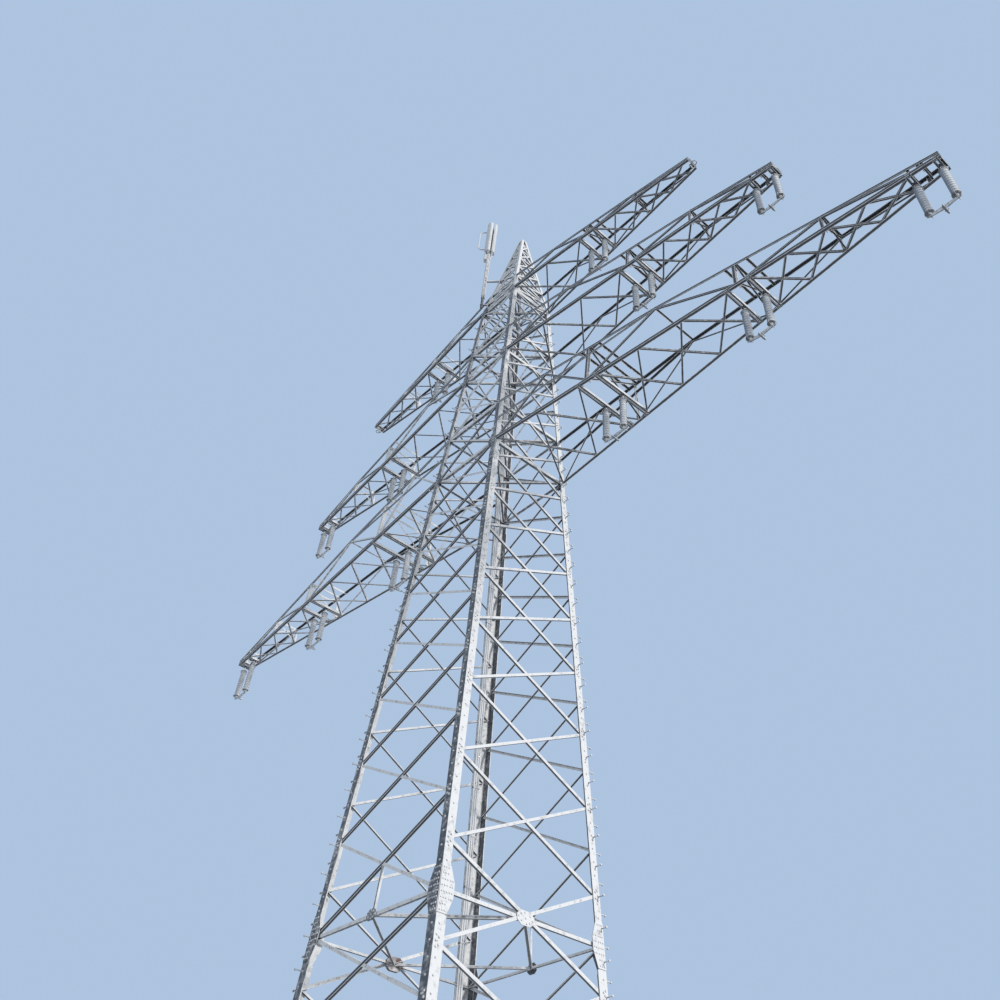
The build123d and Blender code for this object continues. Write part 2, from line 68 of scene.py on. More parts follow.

# Frost, partly real rime and partly painted light (the sunlit right side and tops whitened, lee sides and
# undersides left dark as painted shade): how much the wind, tops and drifts count, and where it starts and is
# full
WIND_AND_SUNLIT_SIDE_SHARE = 0.65
TOP_FROST_AND_LIGHT_SHARE = 0.60
DRIFT_SHARE = 0.5
FROST_AND_LIGHT_FROM = 0.80
FROST_AND_LIGHT_FULL = 1.65
FROST_ROUGHNESS = 0.95


# Camera, lights, background and floor

def add_camera():
    data = bpy.data.cameras.new("camera")
    data.lens = CAMERA_LENS
    data.sensor_width = 36.0
    data.shift_x, data.shift_y = CAMERA_SHIFT
    data.clip_end = 1000.0
    camera = bpy.data.objects.new("camera", data)
    camera.location = CAMERA_PLACE
    camera.rotation_euler = [math.radians(turn) for turn in CAMERA_TURN]
    bpy.context.scene.collection.objects.link(camera)
    bpy.context.scene.camera = camera


def add_sun(name, energy, angle, turn, colour):
    data = bpy.data.lights.new(name, "SUN")
    data.color = colour
    data.energy = energy
    data.angle = math.radians(angle)
    lamp = bpy.data.objects.new(name, data)
    lamp.rotation_euler = [math.radians(value) for value in turn]
    bpy.context.scene.collection.objects.link(lamp)


def add_world():
    """Cool light from all round, and a pale sky that the camera and gloss see instead."""
    world = bpy.data.worlds.new("world")
    bpy.context.scene.world = world
    world.use_nodes = True
    nodes, links = world.node_tree.nodes, world.node_tree.links
    nodes.clear()
    light = nodes.new("ShaderNodeBackground")
    light.inputs["Color"].default_value = SKY_LIGHT
    light.inputs["Strength"].default_value = SKY_LIGHT_STRENGTH
    sky = nodes.new("ShaderNodeBackground")
    sky.inputs["Color"].default_value = SKY
    sky.inputs["Strength"].default_value = 1.0
    path = nodes.new("ShaderNodeLightPath")
    seen = path.outputs["Is Camera Ray"]
    for other in ("Is Glossy Ray", "Is Transmission Ray"):
        seen = add_math(nodes, links, "MAXIMUM", seen, path.outputs[other])
    mix = nodes.new("ShaderNodeMixShader")
    links.new(seen, mix.inputs[0])
    links.new(light.outputs[0], mix.inputs[1])
    links.new(sky.outputs[0], mix.inputs[2])
    output = nodes.new("ShaderNodeOutputWorld")
    links.new(mix.outputs[0], output.inputs["Surface"])


def add_floor(material):
    mesh = bpy.data.meshes.new("floor")
    mesh.from_pydata([(x, y, 0) for x, y in rectangle(FLOOR_HALF, FLOOR_HALF)], [], [(0, 1, 2, 3)])
    mesh.materials.append(material)
    floor = bpy.data.objects.new("floor", mesh)
    bpy.context.scene.collection.objects.link(floor)


# Materials

def add_noise(nodes, links, coords, scale, detail):
    noise = nodes.new("ShaderNodeTexNoise")
    noise.inputs["Scale"].default_value = scale
    noise.inputs["Detail"].default_value = detail
    links.new(coords, noise.inputs["Vector"])
    return noise.outputs["Fac"]


def add_math(nodes, links, kind, first, second):
    node = nodes.new("ShaderNodeMath")
    node.operation = kind
    for socket, value in zip(node.inputs, (first, second)):
        if isinstance(value, (int, float)):
            socket.default_value = value
        else:
            links.new(value, socket)
    return node.outputs[0]


def weathered_with_painted_light(name, dark, pale, roughness, rime=0.0, grain=9.0, clumping=1.5):
    """Mottled surface with hoar frost on what faces the wind, which blew from the right, and on tops. The
    frost is partly painted light: it whitens the sunlit right side and the tops, and leaves lee sides and
    undersides dark as painted shade.

    rime moves the frost line: 0 leaves the lee sides bare, and a higher value frosts more of them.
    clumping is how ragged the frost is.
    """
    material = bpy.data.materials.new(name)
    material.use_nodes = True
    nodes, links = material.node_tree.nodes, material.node_tree.links
    shader = nodes["Principled BSDF"]
    coords = nodes.new("ShaderNodeTexCoord")
    place = coords.outputs["Object"]
    axes = nodes.new("ShaderNodeSeparateXYZ")
    links.new(coords.outputs["Normal"], axes.inputs[0])
    clumps = add_noise(nodes, links, place, grain, 6.0)
    patches = add_noise(nodes, links, place, 0.8, 3.0)
    fine = add_noise(nodes, links, place, 70.0, 3.0)
    # Frost: thick towards the wind, thinner on tops, broken into clumps elsewhere. The wind and top terms
    # also paint sunlight on right-facing sides and tops, and painted shade on lee sides and undersides
    wind = add_math(nodes, links, "MULTIPLY", axes.outputs["X"], WIND_AND_SUNLIT_SIDE_SHARE)
    top = add_math(nodes, links, "MULTIPLY", axes.outputs["Z"], TOP_FROST_AND_LIGHT_SHARE)
    facing_frost_and_light = add_math(nodes, links, "ADD", wind, top)
    broken = add_math(nodes, links, "MULTIPLY", clumps, clumping)
    drift = add_math(nodes, links, "MULTIPLY", patches, DRIFT_SHARE)
    amount = add_math(nodes, links, "ADD", add_math(nodes, links, "ADD", facing_frost_and_light, broken), drift)
    amount = add_math(nodes, links, "ADD", amount, rime)
    frost = nodes.new("ShaderNodeMapRange")
    frost.interpolation_type = "SMOOTHSTEP"
    frost.inputs["From Min"].default_value = FROST_AND_LIGHT_FROM
    frost.inputs["From Max"].default_value = FROST_AND_LIGHT_FULL
    links.new(amount, frost.inputs["Value"])
    # Bare surface: two shades in patches, with a fine grain over them
    painted_shade = nodes.new("ShaderNodeMix")
    painted_shade.data_type = "RGBA"
    painted_shade.inputs["A"].default_value = dark
    painted_shade.inputs["B"].default_value = pale
    shade = add_math(nodes, links, "ADD", add_math(nodes, links, "MULTIPLY", patches, 0.7),
                     add_math(nodes, links, "MULTIPLY", fine, 0.4))
    links.new(shade, painted_shade.inputs["Factor"])
    colour = nodes.new("ShaderNodeMix")
    colour.data_type = "RGBA"
    colour.inputs["B"].default_value = RIME_AND_PAINTED_LIGHT
    links.new(frost.outputs["Result"], colour.inputs["Factor"])
    links.new(painted_shade.outputs["Result"], colour.inputs["A"])
    links.new(colour.outputs["Result"], shader.inputs["Base Color"])
    rough = nodes.new("ShaderNodeMapRange")
    rough.inputs["To Min"].default_value = roughness
    rough.inputs["To Max"].default_value = FROST_ROUGHNESS
    links.new(frost.outputs["Result"], rough.inputs["Value"])
    links.new(rough.outputs["Result"], shader.inputs["Roughness"])
    relief = add_math(nodes, links, "MULTIPLY", frost.outputs["Result"], clumps)
    relief = add_math(nodes, links, "ADD", relief, add_math(nodes, links, "MULTIPLY", fine, 0.15))
    bump = nodes.new("ShaderNodeBump")
    bump.inputs["Strength"].default_value = 0.4
    bump.inputs["Distance"].default_value = 0.012
    links.new(relief, bump.inputs["Height"])
    links.new(bump.outputs["Normal"], shader.inputs["Normal"])
    return material


def floor_material():
    material = bpy.data.materials.new("pale_floor")
    material.use_nodes = True
    nodes, links = material.node_tree.nodes, material.node_tree.links
    shader = nodes["Principled BSDF"]
    shader.inputs["Roughness"].default_value = 0.9
    coords = nodes.new("ShaderNodeTexCoord")
    noise = add_noise(nodes, links, coords.outputs["Object"], 0.4, 4.0)
    mix = nodes.new("ShaderNodeMix")
    mix.data_type = "RGBA"
    mix.inputs["A"].default_value = FLOOR
    mix.inputs["B"].default_value = FLOOR_PALE
    links.new(noise, mix.inputs["Factor"])
    links.new(mix.outputs["Result"], shader.inputs["Base Color"])
    return material


def dress(node, material):
    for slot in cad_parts[node].material_slots:
        slot.material = material


bpy.context.scene.view_settings.view_transform = "Standard"
# Every material below carries the frost mask, which also paints sunlight on right-facing sides and tops and
# painted shade on lee sides and undersides
steel = weathered_with_painted_light("frosted_zinc_steel_with_painted_light", ZINC, ZINC_PALE, 0.5, rime=-0.08)
# Frost on the edges of angles and channels, partly a painted highlight: white even in the lee, as where the
# low sun catches the edges
steel_edges_with_painted_highlight = weathered_with_painted_light("frost_on_steel_edges", ZINC, ZINC_PALE, 0.5, rime=0.95)
# Darker copy of the steel with almost no frost: painted shade for bars that lie in shade
steel_bare_with_painted_shade = weathered_with_painted_light("bare_zinc_steel_with_painted_shade", ZINC, ZINC, 0.5, rime=-0.55)
steel_white = weathered_with_painted_light("whitened_zinc_steel", ZINC, ZINC_PALE, 0.5, rime=0.55)
rust = weathered_with_painted_light("rusted_steel", RUST, RUST_PALE, 0.8, rime=-0.45)
fittings_steel = weathered_with_painted_light("frosted_forged_steel_with_painted_light", FORGED, FORGED_PALE, 0.45, rime=0.40, grain=16.0)
bolt_steel = weathered_with_painted_light("frosted_bolts_with_painted_light", FORGED, FORGED_PALE, 0.45, rime=0.45, grain=20.0)
porcelain = weathered_with_painted_light("frosted_glazed_porcelain_with_painted_light", GLAZE, GLAZE_PALE, 0.22, rime=0.62, grain=5.0, clumping=0.7)
shell = weathered_with_painted_light("frosted_aerial_shell_with_painted_light", SHELL, SHELL_PALE, 0.45, rime=-0.20, grain=6.0)
rubber = weathered_with_painted_light("frosted_cable_rubber_with_painted_light", RUBBER, RUBBER_PALE, 0.6, rime=0.55, grain=14.0)


# Tools for shapes
X, Y, Z = Vector((1, 0, 0)), Vector((0, 1, 0)), Vector((0, 0, 1))
WELD_GAP = 0.00002


class Pile:
    """Corners and faces of one mesh piece, gathered member by member."""

    def __init__(self):
        self.points = []
        self.faces = []
        self.smooth = []
        self.frost = []

    def add(self, points, faces, smooth=False, frost=()):
        base = len(self.points)
        self.points.extend(points)
        self.faces.extend([tuple(base + k for k in face) for face in faces])
        self.smooth.extend([smooth] * len(faces))
        self.frost.extend([int(k in frost) for k in range(len(faces))])

    def skin(self, rings, smooth=False, frost=(), closed=False):
        """Faces between rings of corners and over both ends, or back to the first ring if closed.

        frost lists the faces that are frosted over and painted whiter as an edge highlight, counted from the
        first ring on.
        """
        n, count = len(rings), len(rings[0])
        faces = []
        for k in range(n if closed else n - 1):
            m = (k + 1) % n
            for j in range(count):
                i = (j + 1) % count
                faces.append((k * count + j, k * count + i, m * count + i, m * count + j))
        self.add([p for ring in rings for p in ring], faces, smooth, frost)
        if not closed:
            self.add(rings[0], [tuple(range(count))])
            self.add(rings[-1], [tuple(range(count))])

    def run(self, outline, start, end, across, up, frost=()):
        """Carry a flat outline from start to end."""
        self.skin([[p + across * a + up * b for a, b in outline] for p in (start, end)], frost=frost)

    def angle(self, start, end, flat, stand, width, gauge):
        """Angle section with its heel on the line, one flange along flat and one along stand."""
        # The bands at the tip and heel are frosted over and painted white as a highlight along the edges
        tip, heel = width * 0.86, width * 0.11
        outline = [(0, 0), (heel, 0), (tip, 0), (width, 0), (width, gauge), (tip, gauge), (gauge, gauge)]
        outline += [(b, a) for a, b in reversed(outline[1:6])]
        self.run(outline, start, end, flat, stand, frost=(0, 2, 3, 4, 7, 8, 9, 11))

    def channel(self, start, end, across, up, half, height, gauge):
        """Channel section, its web down and centred on the line."""
        # The flange tops and edge bands are frosted over and painted white as a highlight along the edges
        inner, band = half - gauge, half * 0.75
        outline = [(-half, 0), (-band, 0), (band, 0), (half, 0), (half, height), (inner, height)]
        outline += [(inner, gauge), (-inner, gauge), (-inner, height), (-half, height)]
        self.run(outline, start, end, across, up, frost=(0, 2, 3, 4, 5, 7, 8, 9))

    def plate(self, corners, normal, gauge):
        """Flat plate on its lower face's corners."""
        self.skin([corners, [c + normal * gauge for c in corners]])

    def bolt(self, place, out, radius, height):
        """Hexagon head on a washer."""
        a, b = cross_axes(out)
        washer = height * 0.3
        for r, low, high, count in ((radius * 1.35, 0.0, washer, 10), (radius, washer, height, 6)):
            self.run(circle(r, count), place + out * low, place + out * high, a, b)

    def lathe(self, place, axis, profile, count, hollow=False):
        """Turn a profile of distances along the axis and radii; a hollow one closes on itself."""
        a, b = cross_axes(axis)
        rings = [hoop(place + axis * along, a, b, radius, count) for along, radius in profile]
        self.skin(rings, smooth=True, closed=hollow)

    def tube(self, path, radius, count=8, closed=False):
        """Round bar through a list of points."""
        rings = []
        n = len(path)
        for k, p in enumerate(path):
            before = path[k - 1] if k > 0 or closed else p
            after = path[(k + 1) % n] if k < n - 1 or closed else p
            along = (after - before).normalized()
            if k == 0:
                a, b = cross_axes(along)
            else:
                # Keep each ring turned as the one before, so that the tube doesn't twist
                a = (a - along * a.dot(along)).normalized()
                b = along.cross(a)
            rings.append(hoop(p, a, b, radius, count))
        self.skin(rings, smooth=True, closed=closed)

    def build(self, name, material, body, slot, *nodes):
        """Make the object, weld its doubled corners and hang it on its body."""
        mesh = bpy.data.meshes.new(name)
        mesh.from_pydata([tuple(p) for p in self.points], [], self.faces)
        mesh.polygons.foreach_set("use_smooth", self.smooth)
        mesh.polygons.foreach_set("material_index", self.frost)
        work = bmesh.new()
        work.from_mesh(mesh)
        bmesh.ops.remove_doubles(work, verts=work.verts, dist=WELD_GAP)
        bmesh.ops.recalc_face_normals(work, faces=work.faces)
        work.to_mesh(mesh)
        work.free()
        mesh.materials.append(material)
        # Edge bands get the frost material with its painted highlight
        if any(self.frost):
            mesh.materials.append(steel_edges_with_painted_highlight)
        piece = bpy.data.objects.new(name, mesh)
        bpy.context.scene.collection.objects.link(piece)
        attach(piece, body)
        if nodes:
            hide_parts(*nodes)


def rectangle(a, b):
    """Corners of a rectangle, from half its length and half its width."""
    return [(-a, -b), (a, -b), (a, b), (-a, b)]


def mirrored(half):
    """Whole outline from its right half: its mirror image, then the right half backwards."""
    return [(-x, z) for x, z in half] + half[::-1]


def circle(radius, count):
    turns = [math.tau * k / count for k in range(count)]
    return [(radius * math.cos(t), radius * math.sin(t)) for t in turns]


def hoop(centre, a, b, radius, count=20):
    """Circle of points in the plane of two directions."""
    return [centre + a * x + b * y for x, y in circle(radius, count)]


def cross_axes(axis):
    """Two directions square to an axis and to each other."""
    helper = Z if abs(axis.z) < 0.9 else X
    a = axis.cross(helper).normalized()
    return a, axis.cross(a).normalized()


def compass(turn):
    """Level direction, turned by so many degrees from X."""
    return Vector((math.cos(math.radians(turn)), math.sin(math.radians(turn)), 0))


# Tower shape, as in the frame
BASE_HALF = 2.9
TAPER = 0.059
FIRST_BRACE_Z = 0.17
RING_Z = 8.7
KINK_Z = 32.3
PEAK_TOP_Z = 37.7
PEAK_TOP_HALF = 0.13
LEG_GAUGE = 0.024
CORNER_GAP = 0.095
LOW_PANELS = 4
SHAFT_PANELS = 8
SIDES = {"front": (-Y, X), "right": (X, Y), "back": (Y, -X), "left": (-X, -Y)}
ARMS = {
    "bottom": dict(z=22.8, depth=2.0, reach=16.8, knee=(8.0, 1.5), strut=1.07, panels=(2, 3, 4),
                   sets={"inner": 5.4, "middle": 10.85, "outer": 16.3}),
    "middle": dict(z=27.9, depth=1.6, reach=12.6, knee=(9.5, 0.75), strut=None, panels=(3, 4),
                   sets={"inner": 6.9, "outer": 12.1}),
    "top": dict(z=KINK_Z, depth=1.3, reach=9.6, knee=(6.9, 0.62), strut=None, panels=(2, 4),
                sets={"inner": 4.8}),
}
TIP_HALF = 0.27
TIP_DEPTH = 0.25
STRING_SPACING = 0.72
LUG_DROP = 0.09

# Angle sections: width and gauge
BRACE_GAUGE = 0.008
BRACE_WIDTHS = ((9.0, 0.074), (22.0, 0.068), (math.inf, 0.062))
RING_WIDTH = 0.074
HEAD_WIDTH = 0.105
HANGER = (0.055, 0.006)
PLAN_BAR = (0.07, 0.007)
ARM_CHORD = (0.10, 0.010)
ARM_UPPER_CHORD = (0.085, 0.009)
ARM_STRUT = (0.07, 0.007)
LIGHT_BAR = (0.06, 0.006)
FRAME_CROSS = (0.05, 0.005)
FRAME_TOP = (0.075, 0.007)
FRAME_GAUGE = 0.008
POST_WIDTH = 0.08
SET_POST_WIDTH = 0.11
PEAK_LEG = (0.12, 0.012)
PEAK_BRACE = (0.07, 0.006)
# Crossing bars lie one layer behind the other
LAYER = 0.009
# Above this height all bracing of the shaft is white
WHITE_Z = 23.0

# Bolt heads: radius and height
LEG_BOLT = (0.022, 0.022)
ROW_BOLT = (0.020, 0.020)
STEP_NUT = (0.022, 0.018)
GUSSET_BOLT = (0.017, 0.016)
PLATE_BOLT = (0.014, 0.013)
BAR_BOLT = (0.013, 0.012)
LUG_BOLT = (0.010, 0.010)


def half_width(z):
    if z <= KINK_Z:
        return BASE_HALF - TAPER * z
    lean = (BASE_HALF - TAPER * KINK_Z - PEAK_TOP_HALF) / (PEAK_TOP_Z - KINK_Z)
    return BASE_HALF - TAPER * KINK_Z - lean * (z - KINK_Z)


def on_face(side, u, z, depth=0.0):
    """Point on a face of the tower, u along it and depth in from its outer plane."""
    out, along = SIDES[side]
    return out * (half_width(z) - depth) + along * u + Z * z


def on_leg(side, sign, inset, z, depth=0.0):
    """Point on a leg's flange, inset from the tower's corner."""
    return on_face(side, sign * (half_width(z) - inset), z, depth)


def levels(z_low, z_high, panels):
    """Panel heights that shrink in step with the width of the shaft."""
    w_low, w_high = half_width(z_low), half_width(z_high)
    return [(BASE_HALF - w_low * (w_high / w_low) ** (k / panels)) / TAPER for k in range(panels + 1)]


# Heights where the arms' chords meet the shaft, then where braces meet the legs and where level bars lie
STEPS = [z for arm in (ARMS["bottom"], ARMS["middle"]) for z in (arm["z"], arm["z"] + arm["depth"])]
STEPS.append(KINK_Z)
ACROSS = levels(FIRST_BRACE_Z, RING_Z, LOW_PANELS)[:-1] + levels(RING_Z, STEPS[0], SHAFT_PANELS)[:-1]
for low, high, panels in zip(STEPS, STEPS[1:], (1, 2, 1, 2)):
    ACROSS += levels(low, high, panels)[:-1]
ACROSS.append(KINK_Z - 0.09)
ALONG = [ACROSS[0]] + [(a + b) / 2 for a, b in zip(ACROSS[1:], ACROSS[2:])] + [ACROSS[-1]]
TIES = [RING_Z, *STEPS[:-1], KINK_Z - 0.045]


def add_brace(pile, p, q, inward, width, gauge, heel_low=True):
    """Angle between two points, its flat flange on the face and the other standing inward."""
    run = (q - p).normalized()
    low = inward.cross(run).normalized()
    if low.z > 0 or (low.z == 0 and low.x < 0):
        low = -low
    if not heel_low:
        low = -low
    pile.angle(p + low * width / 2, q + low * width / 2, -low, inward, width, gauge)


def add_level_bar(pile, p, q, width, gauge):
    """Angle between two points of one height, its flat flange down and the other standing up."""
    flat = Z.cross(q - p).normalized()
    pile.angle(p - flat * width / 2, q - flat * width / 2, flat, Z, width, gauge)


# Shaft

def dress_bracing():
    for side in SIDES:
        pile, painted_shade, white = Pile(), Pile(), Pile()
        inward = -SIDES[side][0]
        faces_line = side in ("front", "back")
        heights = ACROSS if faces_line else ALONG
        for low, high in zip(heights, heights[1:]):
            width = next(width for z, width in BRACE_WIDTHS if low < z)
            a, b = half_width(low) - CORNER_GAP, half_width(high) - CORNER_GAP
            for sign, depth in ((-1, LEG_GAUGE), (1, LEG_GAUGE + LAYER)):
                p = on_face(side, sign * a, low, depth)
                q = on_face(side, -sign * b, high, depth)
                # Braces that rise to windward show their bare lee side, and get the darker unfrosted steel as
                # painted shade
                windward = q.x > p.x
                if low > WHITE_Z or (faces_line and not windward):
                    braces = white
                else:
                    braces = painted_shade if faces_line else pile
                add_brace(braces, p, q, inward, width, BRACE_GAUGE, windward or not faces_line)
        level_depth = LEG_GAUGE + 2 * LAYER
        if faces_line:
            # Hanger from the crossing above the ring down to it
            low, high = heights[LOW_PANELS], heights[LOW_PANELS + 1]
            a, b = half_width(low), half_width(high)
            top = on_face(side, 0, low + (high - low) * a / (a + b), level_depth)
            add_brace(pile, on_face(side, 0, RING_Z, level_depth), top, inward, *HANGER)
        for z in TIES:
            a = half_width(z) - CORNER_GAP
            ends = [on_face(side, u, z, level_depth) for u in (-a, a)]
            ties = white if faces_line or z > WHITE_Z else pile
            add_brace(ties, *ends, inward, RING_WIDTH if z == RING_Z else HEAD_WIDTH, BRACE_GAUGE)
        pile.build(f"bracing_{side}_angles", steel, "tower", "steel", f"bracing_{side}")
        if faces_line:
            # Painted shade: the braces that rise to windward get the darker unfrosted steel
            painted_shade.build(f"bracing_{side}_bare", steel_bare_with_painted_shade, "tower", "steel")
        white.build(f"bracing_{side}_white", steel_white, "tower", "steel")


def add_leg_bolts():
    """Bolts on the outer faces of the legs: a row, and a cluster wherever braces meet the leg."""
    pile = Pile()
    cluster = ((0.07, 0.0), (0.14, 0.07), (0.14, -0.07), (0.075, 0.11), (0.075, -0.11))
    row_start, row_pitch, row_count, row_inset = 0.9, 0.31, 70, 0.105
    for side in SIDES:
        out = SIDES[side][0]
        heights = ACROSS if side in ("front", "back") else ALONG
        for sign in (-1, 1):
            for z in heights[1:-1]:
                for inset, dz in cluster:
                    pile.bolt(on_leg(side, sign, inset, z + dz), out, *LEG_BOLT)
            for k in range(row_count):
                pile.bolt(on_leg(side, sign, row_inset, row_start + row_pitch * k), out, *ROW_BOLT)
    pile.build("leg_bolts", bolt_steel, "tower", "fittings")


def add_step_bolts():
    """Climbing bolts on the left front and right back legs, on alternate flanges."""
    pile = Pile()
    first, pitch, count, reach = 2.6, 0.34, 86, 0.165
    head = [(0.0, 0.016), (0.006, 0.025), (0.024, 0.027), (0.034, 0.018)]
    for sign in (-1, 1):
        for k in range(count):
            z = first + pitch * k
            edge = sign * half_width(z)
            inset = sign * (half_width(z) - 0.05)
            if k % 2:
                start, out = Vector((edge, inset, z)), X * sign
            else:
                start, out = Vector((inset, edge, z)), Y * sign
            pile.tube([start - out * 0.03, start + out * reach], 0.014)
            pile.lathe(start + out * (reach - 0.005), out, head, 10)
            pile.bolt(start, out, *STEP_NUT)
    pile.build("step_bolts", bolt_steel, "tower", "fittings")


def add_gussets():
    """Splice plates on the legs at the ring, gussets at the ring's middles and at the arm roots."""
    pile = Pile()
    rusty = Pile()
    bolts = Pile()
    splice = ((0.0, -0.48), (0.25, -0.48), (0.37, -0.14), (0.37, 0.14), (0.23, 0.48), (0.0, 0.48))
    splice_gauge = 0.014
    octagon = ((-1, -0.4), (-0.5, -1), (0.5, -1), (1, -0.4), (1, 0.4), (0.5, 1), (-0.5, 1), (-1, 0.4))
    octagon_bolts = ((-0.8, 0.1), (-0.5, 0.5), (-0.5, -0.4), (-0.1, 0.75), (0, 0), (0.1, -0.7), (0.8, -0.1),
                     (0.5, 0.45), (0.45, -0.5))
    octagon_gauge = 0.012
    root = ((0.0, -0.14), (0.30, -0.14), (0.36, 0.02), (0.20, 0.32), (0.0, 0.32))
    root_gauge = 0.010
    # Bare plates lie a millimetre off the steel below them
    lift = 0.001
    for side in SIDES:
        out = SIDES[side][0]
        for sign in (-1, 1):
            pile.plate([on_leg(side, sign, inset, RING_Z + dz) for inset, dz in splice], out, splice_gauge)
            for row in range(8):
                dz = -0.42 + 0.12 * row
                for inset in (0.05, 0.115, 0.18) + ((0.26, 0.32) if abs(dz) < 0.2 else ()):
                    bolts.bolt(on_leg(side, sign, inset, RING_Z + dz, -splice_gauge), out, *GUSSET_BOLT)
        reach, rise = (0.25, 0.15) if side in ("left", "right") else (0.17, 0.12)
        corners = [on_face(side, u * reach, RING_Z + v * rise, LEG_GAUGE - lift) for u, v in octagon]
        if side == "left":
            # A rusty pair, one plate on each side of the bars
            rusty.plate(corners, out, octagon_gauge)
            rusty.plate([c - out * 0.068 for c in corners], out, 0.010)
        else:
            pile.plate(corners, out, octagon_gauge)
        for u, v in octagon_bolts:
            place = on_face(side, u * reach, RING_Z + v * rise, LEG_GAUGE - lift - octagon_gauge)
            bolts.bolt(place, out, *GUSSET_BOLT)
        if side in ("left", "right"):
            continue
        for z in [arm["z"] for arm in ARMS.values()]:
            for sign in (-1, 1):
                pile.plate([on_leg(side, sign, inset, z + dz, -lift) for inset, dz in root], out, root_gauge)
                for inset in (0.05, 0.12, 0.19):
                    for dz in (-0.08, 0.03, 0.14, 0.25):
                        if inset < 0.15 or dz < 0.2:
                            place = on_leg(side, sign, inset, z + dz, -lift - root_gauge)
                            bolts.bolt(place, out, *PLATE_BOLT)
    pile.build("gusset_plates", steel, "tower", "steel")
    rusty.build("ring_gusset_left", rust, "tower", "steel")
    bolts.build("gusset_bolts", bolt_steel, "tower", "fittings")


def add_leg_splices():
    """Splice plates where the legs grow slimmer under the bottom arms."""
    pile = Pile()
    bolts = Pile()
    z_mid = STEPS[0] - 0.5
    shape = ((0.015, -0.42), (0.17, -0.42), (0.17, 0.42), (0.015, 0.42))
    gauge = 0.012
    for side in SIDES:
        out = SIDES[side][0]
        for sign in (-1, 1):
            pile.plate([on_leg(side, sign, inset, z_mid + dz) for inset, dz in shape], out, gauge)
            for row in range(7):
                z = z_mid - 0.36 + 0.12 * row
                for inset in (0.055, 0.125):
                    bolts.bolt(on_leg(side, sign, inset, z, -gauge), out, *PLATE_BOLT)
    pile.build("leg_splice_plates", steel, "tower", "steel")
    bolts.build("leg_splice_bolts", bolt_steel, "tower", "fittings")


def add_foot_ribs():
    """Stiffening ribs between the legs and their base plates."""
    pile = Pile()
    plate_top, rib_height = 0.04, 0.22
    for x in (-1, 1):
        for y in (-1, 1):
            corner = Vector((x * half_width(plate_top), y * half_width(plate_top), plate_top))
            for along, out in ((-X * x, Y * y), (-Y * y, X * x)):
                for share in (0.05, 0.20):
                    foot = corner + along * share
                    toe = foot + out * 0.10
                    head = foot + Z * rib_height - out * TAPER * rib_height
                    pile.plate([foot, toe, toe + Z * 0.03, head], along, 0.010)
    pile.build("foot_ribs", steel, "tower", "steel")


def dress_ring():
    pile = Pile()
    half = half_width(RING_Z) - LEG_GAUGE - 0.03
    middles = [out * half + Z * (RING_Z - 0.03) for out in (X, Y, -X, -Y)]
    for p, q in zip(middles, middles[1:] + middles[:1]):
        add_level_bar(pile, p, q, *PLAN_BAR)
    pile.build("ring_diamond_angles", steel, "tower", "steel", "ring_diamond")


def add_plan_bracing():
    """Level crosses inside the shaft where the arms join it."""
    pile = Pile()
    bolts = Pile()
    for z in (*STEPS, KINK_Z + ARMS["top"]["depth"]):
        h = half_width(z) - 0.10
        for x, rise in ((1, 0.0), (-1, 0.008)):
            add_level_bar(pile, Vector((-x * h, -h, z + rise)), Vector((x * h, h, z + rise)), *PLAN_BAR)
        bolts.bolt(Vector((0, 0, z)), -Z, *PLATE_BOLT)
    pile.build("plan_bracing_angles", steel, "tower", "steel")
    bolts.build("plan_bracing_bolts", bolt_steel, "tower", "fittings")


def dress_peak():
    pile = Pile()
    bolts = Pile()
    low, high = half_width(KINK_Z), half_width(PEAK_TOP_Z)
    for x in (-1, 1):
        for y in (-1, 1):
            foot, head = Vector((x * low, y * low, KINK_Z)), Vector((x * high, y * high, PEAK_TOP_Z))
            pile.angle(foot, head, -X * x, -Y * y, *PEAK_LEG)
    # Two panels as high as the top arm is deep, then four that shrink towards the top
    arm_depth = ARMS["top"]["depth"]
    steps = [KINK_Z, KINK_Z + arm_depth / 2, KINK_Z + arm_depth]
    rest = PEAK_TOP_Z - 0.5 - steps[-1]
    steps += [KINK_Z + arm_depth + rest * share * (1.25 - 0.25 * share) for share in (0.25, 0.5, 0.75, 1.0)]
    for side in SIDES:
        inward = -SIDES[side][0]
        for z0, z1 in zip(steps, steps[1:]):
            a, b = half_width(z0) - 0.06, half_width(z1) - 0.06
            for s, depth in ((-1, 0.013), (1, 0.020)):
                p, q = on_face(side, s * a, z0, depth), on_face(side, -s * b, z1, depth)
                add_brace(pile, p, q, inward, *PEAK_BRACE)
            for u, z in ((-a, z0), (a, z0), (0, z0 + (z1 - z0) * a / (a + b))):
                bolts.bolt(on_face(side, u, z + 0.03, 0.0 if u else 0.013), -inward, *BAR_BOLT)
        for z in (KINK_Z + 0.03, *steps[1:]):
            a = half_width(z) - 0.03
            add_brace(pile, on_face(side, -a, z, 0.026), on_face(side, a, z, 0.026), inward, *LIGHT_BAR)
    cap_gauge = 0.016
    cap = [Vector((x, y, PEAK_TOP_Z - cap_gauge)) for x, y in rectangle(PEAK_TOP_HALF, PEAK_TOP_HALF)]
    pile.plate(cap, Z, cap_gauge)
    pile.build("peak_angles", steel_white, "tower", "steel", "peak")
    bolts.build("peak_bolts", bolt_steel, "tower", "fittings")


# Crossarms
ROOT_GAP = 0.002
END_GAUGE = 0.012
END_FIELD = 0.25
